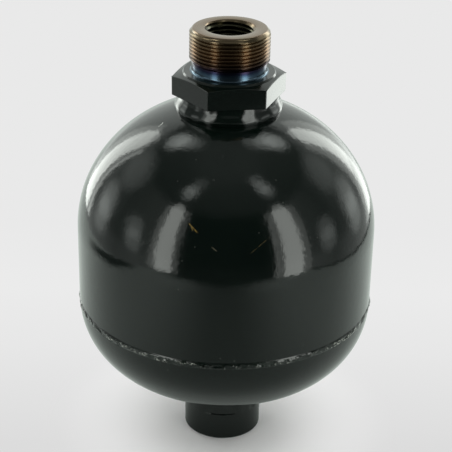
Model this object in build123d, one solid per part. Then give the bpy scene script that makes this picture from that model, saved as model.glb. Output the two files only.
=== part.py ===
from build123d import *
import os
from math import asin, degrees, radians, sqrt, tan

# Welded bladder accumulator, standing on its gas boss with the fluid port on top.
# Origin: centre of the foot face. +Z runs up the vessel's axis. Sizes are in millimetres.
# Screw threads are plain walls: outside threads at their major, inside ones at their minor diameter.

# Pressure vessel: two deep-drawn heads, butt-welded at a girth seam
body_diameter = 127.0
shell_wall = 4.5
upper_head_height = 56.1  # half-ellipse above the straight skirt
upper_skirt = 33.0
lower_head_height = 40.4  # dished head under its short flange
lower_crown_radius = 105.0
lower_flange = 0.5

# Girth seam: V-groove and weld bead
groove_width = 3.2
groove_depth = 3.0
girth_bead_rise = 0.35

# Fluid port: M33x1.5 nipple, G 1/2 bore, hexagon and weld shoulder
nipple_diameter = 33.0
nipple_length = 18.0
nipple_chamfer = 1.45
relief_depth = 1.1
relief_width = 4.0
relief_round = 0.9
hexagon_across_flats = 41.0
hexagon_height = 9.5
hexagon_chamfer_inset = 0.8
hexagon_chamfer_angle = 30.0
neck_height = 6.8
spigot_diameter = 40.0
shoulder_width = 1.2
bore_thread_minor_diameter = 18.631
bore_thread_length = 16.0
bore_chamfer = 1.2
bore_relief_depth = 1.3
bore_relief_width = 2.5
drill_point_angle = 118.0
passage_diameter = 12.0
passage_round = 1.5
port_bead_width = 1.1
port_bead_height = 2.4

# Gas boss: M28x1.5 charging thread, pocket and M16x1.5 tapping for the charging screw
boss_diameter = 34.0
boss_standoff = 26.5  # foot face to the lower head's pole
boss_edge_chamfer = 0.6
charging_thread_major_diameter = 28.0
charging_thread_length = 9.0
charging_mouth_chamfer = 0.9
charging_relief_depth = 0.95
charging_relief_width = 2.5
gas_passage_diameter = 4.0
boss_bead_leg = 14.0  # down the boss, from the lower head
boss_bead_straight = 5.0
boss_bead_width = 8.0
boss_bead_cap = 0.4

# Charging screw and its flat seal
screw_thread_major_diameter = 16.0
screw_thread_pitch = 1.5
screw_shank_length = 9.0
screw_tapping_spare = 2.0
screw_head_rim = 3.0
screw_head_height = 5.0
screw_head_chamfer = 0.8
screw_socket_across_flats = 8.0
screw_socket_depth = 6.0
screw_pocket_gap = 1.0
screw_recess = 0.5
seal_thickness = 1.5
seal_inset = 0.2
fine_thread_pitch = 1.5

# Bladder and retaining ring
bladder_wall = 2.5
bladder_clearance = 0.3
bead_width = 5.0
bead_height = 8.0
pad_thickness = 5.0
pad_radius = 16.0
ring_clearance = 0.1
ring_below_seam = 4.0
ring_band_height = 14.0
ring_band_thickness = 2.8
ring_wall = 2.6
ring_shelf = 2.8
ring_lip_height = 3.4
ring_lip_gap = 0.25

# Valve button moulded into the bladder's crown
button_diameter = 26.0
button_thickness = 3.0
button_edge_round = 0.8
button_stem_diameter = 8.0
button_anchor_diameter = 18.0
button_anchor_thickness = 2.0
button_seat_gap = 0.3
button_rubber_gap = 0.3

MINOR_PER_PITCH = 1.0825  # ISO metric thread: major less minor diameter, in pitches


def minor_radius(major_diameter, pitch):
    return (major_diameter - MINOR_PER_PITCH * pitch) / 2


def ellipse_rise(at_radius, half_width, height):
    return height * sqrt(1 - (at_radius / half_width) ** 2)


# Derived radii
body_radius = body_diameter / 2
inner_radius = body_radius - shell_wall
spigot_radius = spigot_diameter / 2
shoulder_radius = spigot_radius + shoulder_width
nipple_radius = nipple_diameter / 2
boss_radius = boss_diameter / 2
bore_radius = bore_thread_minor_diameter / 2
passage_radius = passage_diameter / 2
charging_bore_radius = minor_radius(charging_thread_major_diameter, fine_thread_pitch)
tapping_radius = minor_radius(screw_thread_major_diameter, screw_thread_pitch)
screw_head_radius = screw_thread_major_diameter / 2 + screw_head_rim
pocket_radius = screw_head_radius + screw_pocket_gap
bladder_radius = inner_radius - bladder_clearance
stem_radius = button_stem_diameter / 2

# Heights up the axis
lower_tangent_z = boss_standoff + lower_head_height
seam_z = lower_tangent_z + lower_flange
upper_tangent_z = seam_z + upper_skirt
inner_head_height = upper_head_height - shell_wall
port_seat_z = upper_tangent_z + ellipse_rise(spigot_radius, body_radius, upper_head_height)
port_end_z = upper_tangent_z + ellipse_rise(spigot_radius, inner_radius, inner_head_height)
hexagon_bottom_z = port_seat_z + neck_height
hexagon_top_z = hexagon_bottom_z + hexagon_height
nipple_top_z = hexagon_top_z + nipple_length
button_top_z = port_end_z - button_seat_gap
crown_z = button_top_z - button_thickness - button_rubber_gap


def turned(*edges):
    """Solid turned about the vessel's axis, from a closed outline of (radius, height) edges."""
    outline = Curve() + list(edges)
    return revolve(Plane.XZ * make_face(outline.edges()), Axis.Z)


def lathe(*points):
    """Solid turned about the vessel's axis, from straight cuts between (radius, height) points."""
    return turned(Polyline(*points, close=True))


def disc(radius, low_z, high_z):
    return Pos(0, 0, low_z) * Cylinder(radius, high_z - low_z, align=(Align.CENTER, Align.CENTER, Align.MIN))


def hexagon_prism(across_flats, low_z, high_z):
    """Hexagonal prism with one pair of flats square to Y."""
    section = RegularPolygon(across_flats / 2, 6, major_radius=False, rotation=0)
    return Pos(0, 0, low_z) * extrude(section, high_z - low_z)


def upper_head(radius, height, base_z):
    """Straight skirt from base_z, closed by a half-ellipse above the tangent line."""
    return turned(
        Polyline((0, upper_tangent_z + height), (0, base_z), (radius, base_z), (radius, upper_tangent_z)),
        EllipticalCenterArc((0, upper_tangent_z), radius, height, 0, arc_size=90),
    )


def knuckle_radius(radius, height, crown):
    """Corner radius that blends a crown arc of a dished head into its cylinder."""
    return (2 * crown * height - radius**2 - height**2) / (2 * (crown - radius))


def lower_head(radius, height, crown):
    """Dished head below the tangent line: crown arc, knuckle arc and short flange up to the seam."""
    knuckle = knuckle_radius(radius, height, crown)
    crown_angle = degrees(asin((radius - knuckle) / (crown - knuckle)))
    crown_arc = CenterArc((0, lower_tangent_z - height + crown), crown, 270, crown_angle)
    knuckle_arc = CenterArc((radius - knuckle, lower_tangent_z), knuckle, 270 + crown_angle, 90 - crown_angle)
    rim = Polyline((radius, lower_tangent_z), (radius, seam_z), (0, seam_z), (0, lower_tangent_z - height))
    return turned(crown_arc, knuckle_arc, rim)


def lower_inner_radius(z):
    """Inside radius of the lower head at a height in its knuckle."""
    knuckle = knuckle_radius(body_radius, lower_head_height, lower_crown_radius) - shell_wall
    return inner_radius - knuckle + sqrt(knuckle**2 - max(lower_tangent_z - z, 0) ** 2)


def lower_crown_z(at_radius, crown):
    """Height of a crown arc of the lower head that is concentric with its outside."""
    return boss_standoff + lower_crown_radius - sqrt(crown**2 - at_radius**2)


boss_end_z = lower_crown_z(boss_radius, lower_crown_radius - shell_wall)


def seam_groove():
    """V-groove cut half into each head's edge; a flat-faced root is left to butt together."""
    half = groove_width / 2
    clear = body_radius + groove_depth
    return lathe(
        (body_radius - groove_depth, seam_z),
        (body_radius, seam_z + half),
        (clear, seam_z + half),
        (clear, seam_z - half),
        (body_radius, seam_z - half),
    )


def make_upper_shell():
    shell = upper_head(body_radius, upper_head_height, seam_z)
    shell -= upper_head(inner_radius, inner_head_height, seam_z)
    shell -= disc(spigot_radius, upper_tangent_z, hexagon_bottom_z)
    return shell - seam_groove()


def make_lower_shell():
    shell = lower_head(body_radius, lower_head_height, lower_crown_radius)
    shell -= lower_head(inner_radius, lower_head_height - shell_wall, lower_crown_radius - shell_wall)
    shell -= disc(boss_radius, 0, lower_tangent_z)
    return shell - seam_groove()


def make_girth_weld():
    half = groove_width / 2
    top_toe = (body_radius, seam_z + half)
    low_toe = (body_radius, seam_z - half)
    return turned(
        Polyline(low_toe, (body_radius - groove_depth, seam_z), top_toe),
        ThreePointArc(top_toe, (body_radius + girth_bead_rise, seam_z), low_toe),
    )


def make_port_weld():
    """Flash ring in the corner between the port's shoulder and the upper head."""
    toe_radius = shoulder_radius + port_bead_width
    head_z = upper_tangent_z + ellipse_rise(toe_radius, body_radius, upper_head_height)
    root_z = head_z - shell_wall / 2
    top = (shoulder_radius, port_seat_z + port_bead_height)
    toe = (toe_radius, head_z)
    bulge = (toe_radius, port_seat_z + port_bead_height / 2)
    bead = turned(
        Polyline(toe, (toe_radius, root_z), (shoulder_radius, root_z), top),
        ThreePointArc(top, bulge, toe),
    )
    return bead - upper_head(body_radius, upper_head_height, seam_z)


def make_boss_weld():
    """Broad fillet from the lower head down the gas boss, with a low cap at its toe."""
    toe_z = boss_standoff - boss_bead_leg
    cap_radius = boss_radius + boss_bead_cap
    outer_radius = boss_radius + boss_bead_width
    root_z = lower_crown_z(outer_radius, lower_crown_radius) + shell_wall / 2
    side_top = (cap_radius, toe_z + boss_bead_cap + boss_bead_straight)
    bead = turned(
        Polyline((boss_radius, root_z), (boss_radius, toe_z), (cap_radius, toe_z + boss_bead_cap), side_top),
        TangentArc(side_top, (outer_radius, root_z), tangent=(0, 1)),
        Line((outer_radius, root_z), (boss_radius, root_z)),
    )
    return bead - lower_head(body_radius, lower_head_height, lower_crown_radius)


def make_fluid_port():
    """One turned and milled piece: nipple, hexagon, weld shoulder and spigot, bored through."""
    relief_radius = nipple_radius - relief_depth
    foot_radius = relief_radius + relief_round
    round_low = (foot_radius, hexagon_top_z)
    round_high = (relief_radius, hexagon_top_z + relief_round)
    port = turned(
        RadiusArc(round_low, round_high, relief_round),
        Polyline(
            round_high,
            (relief_radius, hexagon_top_z + relief_width),
            (nipple_radius, hexagon_top_z + relief_width + relief_depth),
            (nipple_radius, nipple_top_z - nipple_chamfer),
            (nipple_radius - nipple_chamfer, nipple_top_z),
            (0, nipple_top_z),
            (0, port_end_z),
            (spigot_radius, port_end_z),
            (spigot_radius, port_seat_z),
            (shoulder_radius, port_seat_z),
            (shoulder_radius, hexagon_bottom_z),
            (foot_radius, hexagon_bottom_z),
            round_low,
        ),
    )
    port += chamfered_hexagon()
    port -= port_bore()
    return port


def chamfered_hexagon():
    """Hexagon whose upper corners are turned off by a shallow cone."""
    chamfer_radius = hexagon_across_flats / 2 - hexagon_chamfer_inset
    reach = hexagon_across_flats
    fall = (reach - chamfer_radius) * tan(radians(hexagon_chamfer_angle))
    cone = lathe(
        (0, hexagon_bottom_z - fall),
        (reach, hexagon_bottom_z - fall),
        (reach, hexagon_top_z - fall),
        (chamfer_radius, hexagon_top_z),
        (0, hexagon_top_z),
    )
    return hexagon_prism(hexagon_across_flats, hexagon_bottom_z, hexagon_top_z) & cone


def port_bore():
    """G 1/2 wall with mouth chamfer and thread relief, a drill point, and the passage to the bladder."""
    thread_end_z = nipple_top_z - bore_chamfer - bore_thread_length
    relief_end_z = thread_end_z - bore_relief_width
    relief_radius = bore_radius + bore_relief_depth
    point_fall = (bore_radius - passage_radius) / tan(radians(drill_point_angle / 2))
    bore = lathe(
        (0, nipple_top_z),
        (bore_radius + bore_chamfer, nipple_top_z),
        (bore_radius, nipple_top_z - bore_chamfer),
        (bore_radius, thread_end_z),
        (relief_radius, thread_end_z - bore_relief_depth),
        (relief_radius, relief_end_z),
        (bore_radius, relief_end_z),
        (passage_radius, relief_end_z - point_fall),
        (0, relief_end_z - point_fall),
    )
    mouth_corner = (passage_radius, port_end_z + passage_round)
    mouth_edge = (passage_radius + passage_round, port_end_z)
    passage = turned(
        Polyline(mouth_edge, (0, port_end_z), (0, relief_end_z), (passage_radius, relief_end_z), mouth_corner),
        RadiusArc(mouth_corner, mouth_edge, -passage_round),
    )
    return bore + passage


charging_thread_end_z = charging_mouth_chamfer + charging_thread_length
charging_shoulder_z = charging_thread_end_z + charging_relief_width
screw_head_low_z = charging_shoulder_z + screw_recess
seal_low_z = screw_head_low_z + screw_head_height
pocket_floor_z = seal_low_z + seal_thickness
tapping_end_z = pocket_floor_z + screw_shank_length + screw_tapping_spare


def make_gas_boss():
    """Turned boss: charging thread with relief, pocket for the screw head, tapping and gas passage."""
    blank = lathe(
        (0, 0),
        (boss_radius - boss_edge_chamfer, 0),
        (boss_radius, boss_edge_chamfer),
        (boss_radius, boss_end_z),
        (0, boss_end_z),
    )
    relief_radius = charging_bore_radius + charging_relief_depth
    recess = lathe(
        (0, 0),
        (charging_bore_radius + charging_mouth_chamfer, 0),
        (charging_bore_radius, charging_mouth_chamfer),
        (charging_bore_radius, charging_thread_end_z),
        (relief_radius, charging_thread_end_z),
        (relief_radius, charging_shoulder_z),
        (pocket_radius, charging_shoulder_z),
        (pocket_radius, pocket_floor_z),
        (tapping_radius, pocket_floor_z),
        (tapping_radius, tapping_end_z),
        (0, tapping_end_z),
    )
    return blank - recess - disc(gas_passage_diameter / 2, 0, boss_end_z)


def make_charging_screw():
    """Flat-headed screw with a hexagon socket, seen from the foot."""
    shank_radius = tapping_radius
    chamfer_radius = screw_head_radius - screw_head_chamfer
    screw = lathe(
        (0, screw_head_low_z),
        (chamfer_radius, screw_head_low_z),
        (screw_head_radius, screw_head_low_z + screw_head_chamfer),
        (screw_head_radius, seal_low_z),
        (shank_radius, seal_low_z),
        (shank_radius, pocket_floor_z + screw_shank_length),
        (0, pocket_floor_z + screw_shank_length),
    )
    socket_end_z = screw_head_low_z + screw_socket_depth
    return screw - hexagon_prism(screw_socket_across_flats, screw_head_low_z, socket_end_z)


def make_charging_screw_seal():
    """Flat sealing washer under the screw head."""
    outer = disc(screw_head_radius - seal_inset, seal_low_z, pocket_floor_z)
    return outer - disc(tapping_radius + seal_inset, seal_low_z, pocket_floor_z)


ring_bottom_z = seam_z - ring_below_seam
ring_shelf_z = ring_bottom_z + ring_band_height
ring_radius = lower_inner_radius(ring_bottom_z) - ring_clearance
bead_inner_radius = bladder_radius - bead_width
bladder_inner_radius = bladder_radius - bladder_wall
bead_slope = bead_width - bladder_wall


def make_retaining_ring():
    """Stepped ring: its band backs the girth seam, its shelf and lipped wall hold the bladder's bead."""
    wall_radius = bead_inner_radius - ring_clearance
    lip_radius = bladder_inner_radius - ring_lip_gap
    lip_z = ring_shelf_z + bead_height + ring_clearance
    lip_corner_z = lip_z + lip_radius - wall_radius
    bore = wall_radius - ring_wall
    band_bore = ring_radius - ring_band_thickness
    return lathe(
        (band_bore, ring_bottom_z),
        (ring_radius, ring_bottom_z),
        (ring_radius, ring_shelf_z),
        (wall_radius, ring_shelf_z),
        (wall_radius, lip_z),
        (lip_radius, lip_corner_z),
        (lip_radius, lip_corner_z + ring_lip_height),
        (bore, lip_corner_z + ring_lip_height),
        (bore, ring_shelf_z - ring_shelf),
        (band_bore, ring_shelf_z - ring_shelf),
    )


def make_bladder():
    """Moulded rubber cup against the upper head: clamped bead, wall, and a flat crown with its pad."""
    dome_height = inner_head_height - bladder_clearance
    below_crown = disc(body_radius, ring_shelf_z, crown_z)
    below_web = disc(body_radius, ring_shelf_z, crown_z - bladder_wall)
    cup = upper_head(bladder_radius, dome_height, ring_shelf_z) & below_crown
    cup -= upper_head(bladder_inner_radius, dome_height - bladder_wall, ring_shelf_z) & below_web
    bead = lathe(
        (bead_inner_radius, ring_shelf_z),
        (bladder_radius, ring_shelf_z),
        (bladder_radius, ring_shelf_z + bead_height + bead_slope),
        (bladder_inner_radius, ring_shelf_z + bead_height + bead_slope),
        (bead_inner_radius, ring_shelf_z + bead_height),
    )
    pad_z = crown_z - pad_thickness
    pad = lathe(
        (0, crown_z),
        (0, pad_z),
        (pad_radius, pad_z),
        (pad_radius + bladder_wall, crown_z - bladder_wall),
        (pad_radius + bladder_wall, crown_z),
    )
    stem_hole = disc(stem_radius + button_rubber_gap, pad_z, crown_z)
    return cup + bead + pad - stem_hole


def make_valve_button():
    """Turned button: sealing disc on the fluid side, stem through the rubber, anchor on the gas side."""
    disc_low_z = button_top_z - button_thickness
    anchor_top_z = crown_z - pad_thickness - button_rubber_gap
    anchor_radius = button_anchor_diameter / 2
    rim_radius = button_diameter / 2
    corner_low = (rim_radius, button_top_z - button_edge_round)
    corner_high = (rim_radius - button_edge_round, button_top_z)
    return turned(
        RadiusArc(corner_high, corner_low, button_edge_round),
        Polyline(
            corner_low,
            (rim_radius, disc_low_z),
            (stem_radius, disc_low_z),
            (stem_radius, anchor_top_z),
            (anchor_radius, anchor_top_z),
            (anchor_radius, anchor_top_z - button_anchor_thickness),
            (0, anchor_top_z - button_anchor_thickness),
            (0, button_top_z),
            corner_high,
        ),
    )


pieces = {
    "upper_shell": make_upper_shell(),
    "lower_shell": make_lower_shell(),
    "girth_weld": make_girth_weld(),
    "fluid_port": make_fluid_port(),
    "port_weld": make_port_weld(),
    "gas_boss": make_gas_boss(),
    "boss_weld": make_boss_weld(),
    "charging_screw": make_charging_screw(),
    "charging_screw_seal": make_charging_screw_seal(),
    "bladder": make_bladder(),
    "valve_button": make_valve_button(),
    "retaining_ring": make_retaining_ring(),
}

os.makedirs("parts", exist_ok=True)
for name, piece in pieces.items():
    export_step(piece, f"parts/{name}.step")
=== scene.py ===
import math

import bpy
from mathutils import Matrix, Vector, noise


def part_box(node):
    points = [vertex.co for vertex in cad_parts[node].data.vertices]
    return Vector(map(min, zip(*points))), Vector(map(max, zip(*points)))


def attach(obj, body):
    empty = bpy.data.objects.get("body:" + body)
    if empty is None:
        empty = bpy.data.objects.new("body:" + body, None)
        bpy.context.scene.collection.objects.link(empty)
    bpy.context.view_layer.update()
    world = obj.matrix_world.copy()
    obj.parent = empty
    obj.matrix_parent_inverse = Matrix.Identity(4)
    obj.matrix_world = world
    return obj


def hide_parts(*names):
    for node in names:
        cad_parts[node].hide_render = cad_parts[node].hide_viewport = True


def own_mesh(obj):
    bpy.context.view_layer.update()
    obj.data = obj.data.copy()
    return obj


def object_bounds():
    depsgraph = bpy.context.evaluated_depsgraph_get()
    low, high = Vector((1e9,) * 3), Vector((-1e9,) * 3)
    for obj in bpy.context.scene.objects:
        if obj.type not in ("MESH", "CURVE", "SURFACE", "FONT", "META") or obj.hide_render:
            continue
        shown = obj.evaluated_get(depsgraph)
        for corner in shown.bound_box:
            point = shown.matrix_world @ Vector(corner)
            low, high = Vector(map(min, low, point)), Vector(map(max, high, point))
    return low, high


# Welded bladder accumulator on its gas boss, fluid port up, on a pale studio table.
# Everything is in metres in the frame's own axes; MM turns drawing sizes into metres.

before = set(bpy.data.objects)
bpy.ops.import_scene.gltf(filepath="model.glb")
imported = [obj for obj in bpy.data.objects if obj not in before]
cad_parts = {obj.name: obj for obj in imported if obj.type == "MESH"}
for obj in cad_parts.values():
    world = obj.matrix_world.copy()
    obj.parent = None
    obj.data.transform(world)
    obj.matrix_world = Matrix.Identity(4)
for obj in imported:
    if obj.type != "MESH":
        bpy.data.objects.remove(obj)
cad_low, cad_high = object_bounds()
MM = 0.001


# ---------------------------------------------------------------- places worked out from the frame

def top_of(node):
    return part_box(node)[1].z


def bottom_of(node):
    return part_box(node)[0].z


def radius_of(node):
    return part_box(node)[1].y


SEAM_Z = (top_of("girth_weld") + bottom_of("girth_weld")) / 2
BODY_RADIUS = radius_of("upper_shell")
HEAD_TOP_Z = top_of("upper_shell")
NIPPLE_TOP_Z = top_of("fluid_port")
PORT_END_Z = bottom_of("fluid_port")
HEXAGON_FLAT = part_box("fluid_port")[1].x * math.cos(math.pi / 6)
BOSS_RADIUS = radius_of("gas_boss")

# Drawing size of the vessel: its cylinder above the seam, before the head curves in
HEAD_STRAIGHT = 33.0 * MM

# Drawing sizes of the fluid port: M33x1.5 outside thread, G 1/2 inside thread, 41 mm hexagon
NIPPLE_RADIUS = 16.5 * MM
NIPPLE_LENGTH = 18.0 * MM
NIPPLE_CHAMFER = 1.45 * MM
THREAD_PITCH = 1.5 * MM
THREAD_DEPTH = 0.92 * MM
THREAD_CREST_ROUND = 0.03 * MM
RELIEF_RADIUS = 15.4 * MM
RELIEF_WIDTH = 4.0 * MM
RELIEF_FILLET = 0.9 * MM
BORE_RADIUS = 9.3155 * MM
BORE_PITCH = 1.814 * MM
BORE_THREAD_DEPTH = 1.162 * MM
BORE_CREST_ROUND = 0.05 * MM
BORE_CHAMFER = 1.2 * MM
BORE_THREAD_LENGTH = 16.0 * MM
BORE_RELIEF_WIDTH = 2.5 * MM
BORE_RELIEF_DEPTH = 1.3 * MM
DRILL_POINT_FALL = 1.99 * MM
PASSAGE_RADIUS = 6.0 * MM
PASSAGE_EDGE = 1.5 * MM
SPIGOT_RADIUS = 20.0 * MM
SPIGOT_EDGE = 0.3 * MM
HEXAGON_HEIGHT = 9.9 * MM
HEXAGON_TOP_Z = NIPPLE_TOP_Z - NIPPLE_LENGTH
HEXAGON_LOW_Z = HEXAGON_TOP_Z - HEXAGON_HEIGHT
HEXAGON_CHAMFER_RADIUS = HEXAGON_FLAT - 1.3 * MM
HEXAGON_CHAMFER_SLOPE = math.tan(math.radians(15))
HEXAGON_EDGE = 0.22 * MM
HEXAGON_EDGE_LIMIT = math.radians(50)  # leaves the washer step as it is drawn
WASHER_STEP = 0.8 * MM
WASHER_STEP_TILT = math.radians(56)
WASHER_ROUND = 0.25 * MM
NECK_HEIGHT = 6.8 * MM
COLLAR_SEAT = 21.6 * MM
COLLAR_WAIST = 20.6 * MM
COLLAR_BULGE = 0.9 * MM
PORT_SEAT_Z = HEXAGON_LOW_Z - NECK_HEIGHT


# ---------------------------------------------------------------- modelling by hand

LEVEL_TOLERANCE = 0.0005 * MM
CUT_TOLERANCE = 0.0001 * MM
TURN_MERGE = 0.004 * MM


def choose(obj):
    """Makes one object the selected and active one."""
    bpy.ops.object.select_all(action="DESELECT")
    obj.select_set(True)
    bpy.context.view_layer.objects.active = obj


def in_edit(obj):
    choose(obj)
    bpy.ops.object.mode_set(mode="EDIT")


def out_of_edit():
    bpy.ops.object.mode_set(mode="OBJECT")


def ring_primitive(name, radius, z, segments):
    """Open circle to be extruded ring by ring, left in edit mode with the ring selected."""
    bpy.ops.object.select_all(action="DESELECT")
    bpy.ops.mesh.primitive_circle_add(vertices=segments, radius=radius, location=(0, 0, z))
    obj = bpy.context.object
    obj.name = obj.data.name = name
    bpy.ops.object.transform_apply(location=True)
    bpy.ops.object.mode_set(mode="EDIT")
    bpy.ops.mesh.select_all(action="SELECT")
    return obj


def draw_rings(start, rings):
    """Extrudes the selected ring at (radius, z) start through the (radius, z) rings."""
    radius, z = start
    for next_radius, next_z in rings:
        bpy.ops.mesh.extrude_region_move(
            TRANSFORM_OT_translate={"value": (0, 0, next_z - z)}
        )
        grow = next_radius / radius
        if abs(grow - 1) > 1e-9:
            bpy.ops.transform.resize(
                value=(grow, grow, 1), center_override=(0, 0, next_z)
            )
        radius, z = next_radius, next_z


def arc(centre, radius, start, end, steps):
    """(radius, z) points on an arc of a section, from start to end in degrees."""
    points = []
    for i in range(steps + 1):
        angle = math.radians(start + (end - start) * i / steps)
        points.append(
            (centre[0] + radius * math.cos(angle), centre[1] + radius * math.sin(angle))
        )
    return points


def tidy_mesh(obj, merge=0.002 * MM):
    """Merges doubles and turns every face outwards."""
    in_edit(obj)
    bpy.ops.mesh.select_all(action="SELECT")
    bpy.ops.mesh.remove_doubles(threshold=merge)
    bpy.ops.mesh.normals_make_consistent(inside=False)
    out_of_edit()
    return obj


def smooth(obj, angle):
    """Shades smooth over every edge flatter than the angle in degrees."""
    choose(obj)
    bpy.ops.object.shade_smooth_by_angle(angle=math.radians(angle))
    return obj


def turned_solid(name, section, segments=192):
    """Closed ring turned from a closed section of (radius, z) points."""
    obj = ring_primitive(name, *section[0], segments)
    draw_rings(section[0], section[1:] + section[:1])
    out_of_edit()
    return tidy_mesh(obj)


def cut_level(obj, z, keep_above):
    """Cuts the mesh off at a height."""
    in_edit(obj)
    bpy.ops.mesh.select_all(action="SELECT")
    bpy.ops.mesh.bisect(
        plane_co=(0, 0, z),
        plane_no=(0, 0, 1),
        clear_inner=keep_above,
        clear_outer=not keep_above,
        threshold=CUT_TOLERANCE,
    )
    out_of_edit()


def thread_tube(name, teeth, pitch, low, high, steps=144):
    """Helical wall from low to high: one tooth's outline of (radius, share of pitch)
    points, screwed up turn by turn."""
    turns = math.ceil((high - low) / pitch) + 1
    start = low - pitch
    bpy.ops.object.select_all(action="DESELECT")
    bpy.ops.mesh.primitive_plane_add(size=MM, location=(0, 0, 0))
    obj = bpy.context.object
    obj.name = obj.data.name = name
    bpy.ops.object.mode_set(mode="EDIT")
    bpy.ops.mesh.select_all(action="SELECT")
    bpy.ops.mesh.merge(type="CENTER")
    place = (teeth[0][0], start + teeth[0][1] * pitch)
    bpy.ops.transform.translate(value=(place[0], 0, place[1]))
    for radius, share in teeth[1:]:
        point = (radius, start + share * pitch)
        bpy.ops.mesh.extrude_region_move(
            TRANSFORM_OT_translate={
                "value": (point[0] - place[0], 0, point[1] - place[1])
            }
        )
        place = point
    out_of_edit()
    screw = obj.modifiers.new("thread", "SCREW")
    screw.axis = "Z"
    screw.angle = math.tau
    screw.screw_offset = pitch
    screw.iterations = turns
    screw.steps = screw.render_steps = steps
    screw.use_merge_vertices = False
    bpy.ops.object.modifier_apply(modifier="thread")
    in_edit(obj)
    bpy.ops.mesh.select_all(action="SELECT")
    bpy.ops.mesh.remove_doubles(threshold=TURN_MERGE)
    out_of_edit()
    cut_level(obj, low, keep_above=True)
    cut_level(obj, high, keep_above=False)
    return obj


def limit_radius(obj, low_line, high_line, outside):
    """Turns the thread's ends off to two cones, each a (radius, z, slope) line."""
    for vertex in obj.data.vertices:
        radius = math.hypot(vertex.co.x, vertex.co.y)
        wanted = radius
        for at_radius, at_z, slope in (low_line, high_line):
            cone = at_radius + (vertex.co.z - at_z) * slope
            wanted = min(wanted, cone) if outside else max(wanted, cone)
        vertex.co.x *= wanted / radius
        vertex.co.y *= wanted / radius


def select_levels(obj, *levels):
    """Selects the vertices at those heights and stays in edit mode."""
    in_edit(obj)
    bpy.ops.mesh.select_all(action="DESELECT")
    out_of_edit()
    for vertex in obj.data.vertices:
        vertex.select = min(abs(vertex.co.z - z) for z in levels) < LEVEL_TOLERANCE
    bpy.ops.object.mode_set(mode="EDIT")
    bpy.ops.mesh.select_mode(type="VERT")


def bridge_levels(obj, z_a, z_b):
    """Closes the seam between two open rings at two heights."""
    select_levels(obj, z_a, z_b)
    bpy.ops.mesh.bridge_edge_loops()
    out_of_edit()


def join(name, first, second):
    choose(first)
    second.select_set(True)
    bpy.ops.object.join()
    first.name = first.data.name = name
    return first


# ---------------------------------------------------------------- fluid port

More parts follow.
